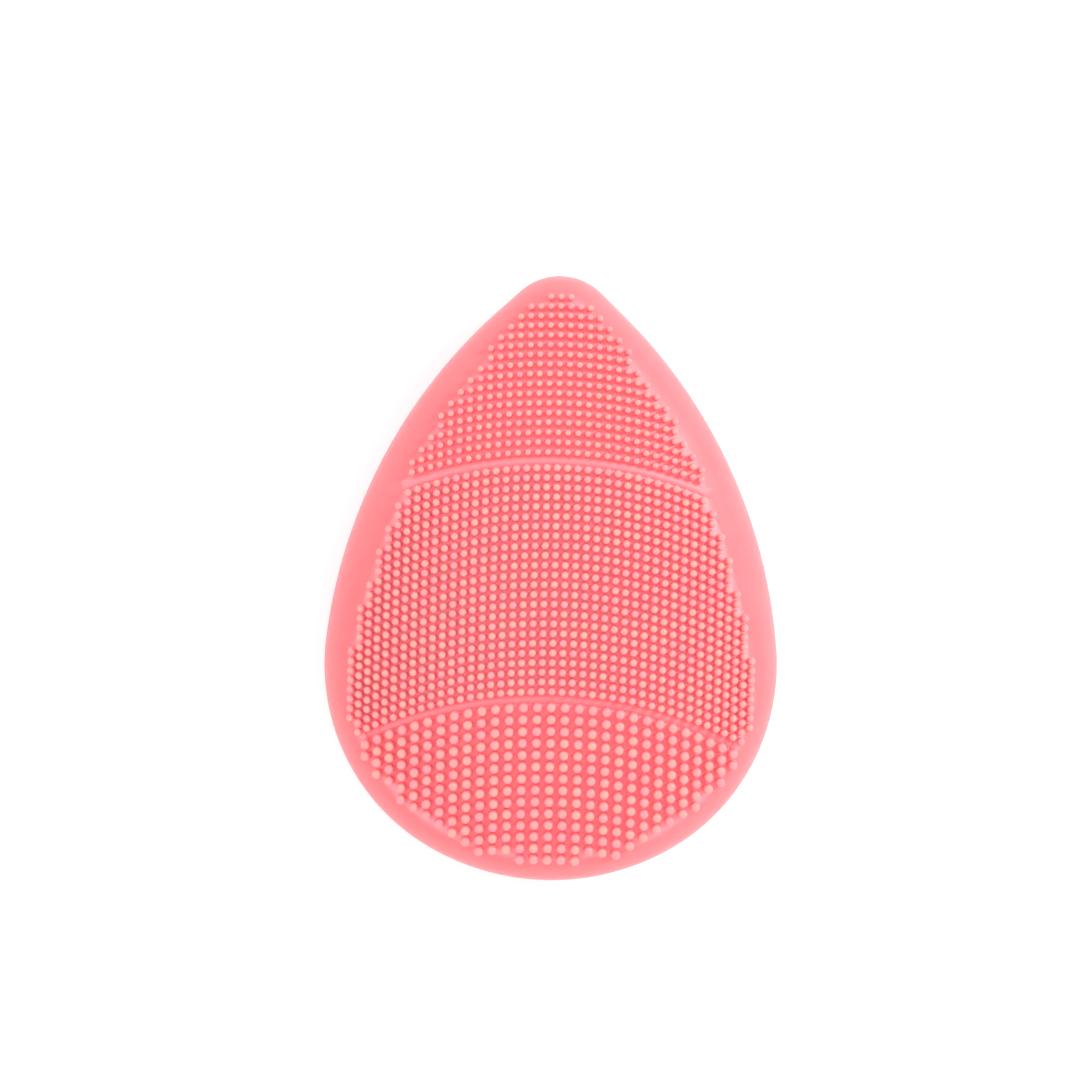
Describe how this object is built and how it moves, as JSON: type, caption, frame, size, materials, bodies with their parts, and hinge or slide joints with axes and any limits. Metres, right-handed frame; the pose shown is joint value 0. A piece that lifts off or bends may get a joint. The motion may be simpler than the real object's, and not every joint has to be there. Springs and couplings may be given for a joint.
{
  "type": "facial cleansing brush",
  "caption": "Teardrop silicone facial cleansing brush with three bristle fields on its domed face, buttons in its flat back, and a vibration motor inside.",
  "frame": {"origin": "centre of the flat resting face of the back, under the middle of the outline", "axes": "+Z the way the bristles point, +Y towards the pointed tip, +X to the right seen from the bristled face"},
  "size_m": [0.0774, 0.1024, 0.0312],
  "materials": {
    "silicone_skin": "satin",
    "button_cap": "satin",
    "housing_plastic": "satin",
    "seal_rubber": "matte",
    "steel": "satin",
    "board_laminate": "satin",
    "black_plastic": "matte",
    "ceramic_tan": "matte",
    "clear_plastic": "gloss",
    "white_plastic": "satin",
    "foam_grey": "matte",
    "battery_foil": "satin",
    "brass": "satin",
    "iron": "matte",
    "lead_red": "satin",
    "lead_black": "satin"
  },
  "bodies": {
    "casing": {"battery_cell": "battery_foil", "battery_connector": "black_plastic", "battery_foam": "foam_grey", "battery_lead_black": "lead_black", "battery_lead_red": "lead_red", "battery_tray": "housing_plastic", "board_capacitors": "ceramic_tan", "board_inductor": "black_plastic", "board_screws": "steel", "button_boots": "seal_rubber", "case_screws": "steel", "charging_chip": "black_plastic", "charging_socket": "black_plastic", "circuit_board": "board_laminate", "clamp_screws": "steel", "coarse_bristles": "silicone_skin", "controller_chip": "black_plastic", "fine_bristles": "silicone_skin", "front_cover": "silicone_skin", "front_housing": "housing_plastic", "housing_seal": "seal_rubber", "indicator_leds": "clear_plastic", "light_guide": "clear_plastic", "medium_bristles": "silicone_skin", "minus_switch": "black_plastic", "motor_brushes": "brass", "motor_bushes": "brass", "motor_can": "steel", "motor_clamps": "housing_plastic", "motor_damper": "seal_rubber", "motor_end_cap": "black_plastic", "motor_lead_black": "lead_black", "motor_lead_red": "lead_red", "motor_magnets": "iron", "plus_switch": "black_plastic", "power_switch": "black_plastic", "rear_cover": "silicone_skin", "rear_housing": "housing_plastic", "socket_contacts": "brass", "socket_leads": "lead_black", "socket_seal": "seal_rubber", "tray_screws": "steel"},
    "rotor": {"motor_shaft": "steel", "motor_armature": "iron", "motor_commutator": "brass", "eccentric_weight": "brass"},
    "power_key": {"power_button": "button_cap", "power_plunger": "white_plastic"},
    "plus_key": {"plus_button": "button_cap", "plus_plunger": "white_plastic"},
    "minus_key": {"minus_button": "button_cap", "minus_plunger": "white_plastic"}
  },
  "joints": [
    {"name": "rotor_spin", "type": "hinge", "parent": "casing", "child": "rotor", "pos_m": [0, 0.02, 0.013], "axis": [0, 1, 0], "continuous": true},
    {"name": "power_press", "type": "slide", "parent": "casing", "child": "power_key", "axis": [0, 0, 1], "range_m": [0, 0.00035], "stiffness_N_per_m": 900, "springref_m": -0.0005},
    {"name": "plus_press", "type": "slide", "parent": "casing", "child": "plus_key", "axis": [0, 0, 1], "range_m": [0, 0.00035], "stiffness_N_per_m": 900, "springref_m": -0.0005},
    {"name": "minus_press", "type": "slide", "parent": "casing", "child": "minus_key", "axis": [0, 0, 1], "range_m": [0, 0.00035], "stiffness_N_per_m": 900, "springref_m": -0.0005}
  ]
}
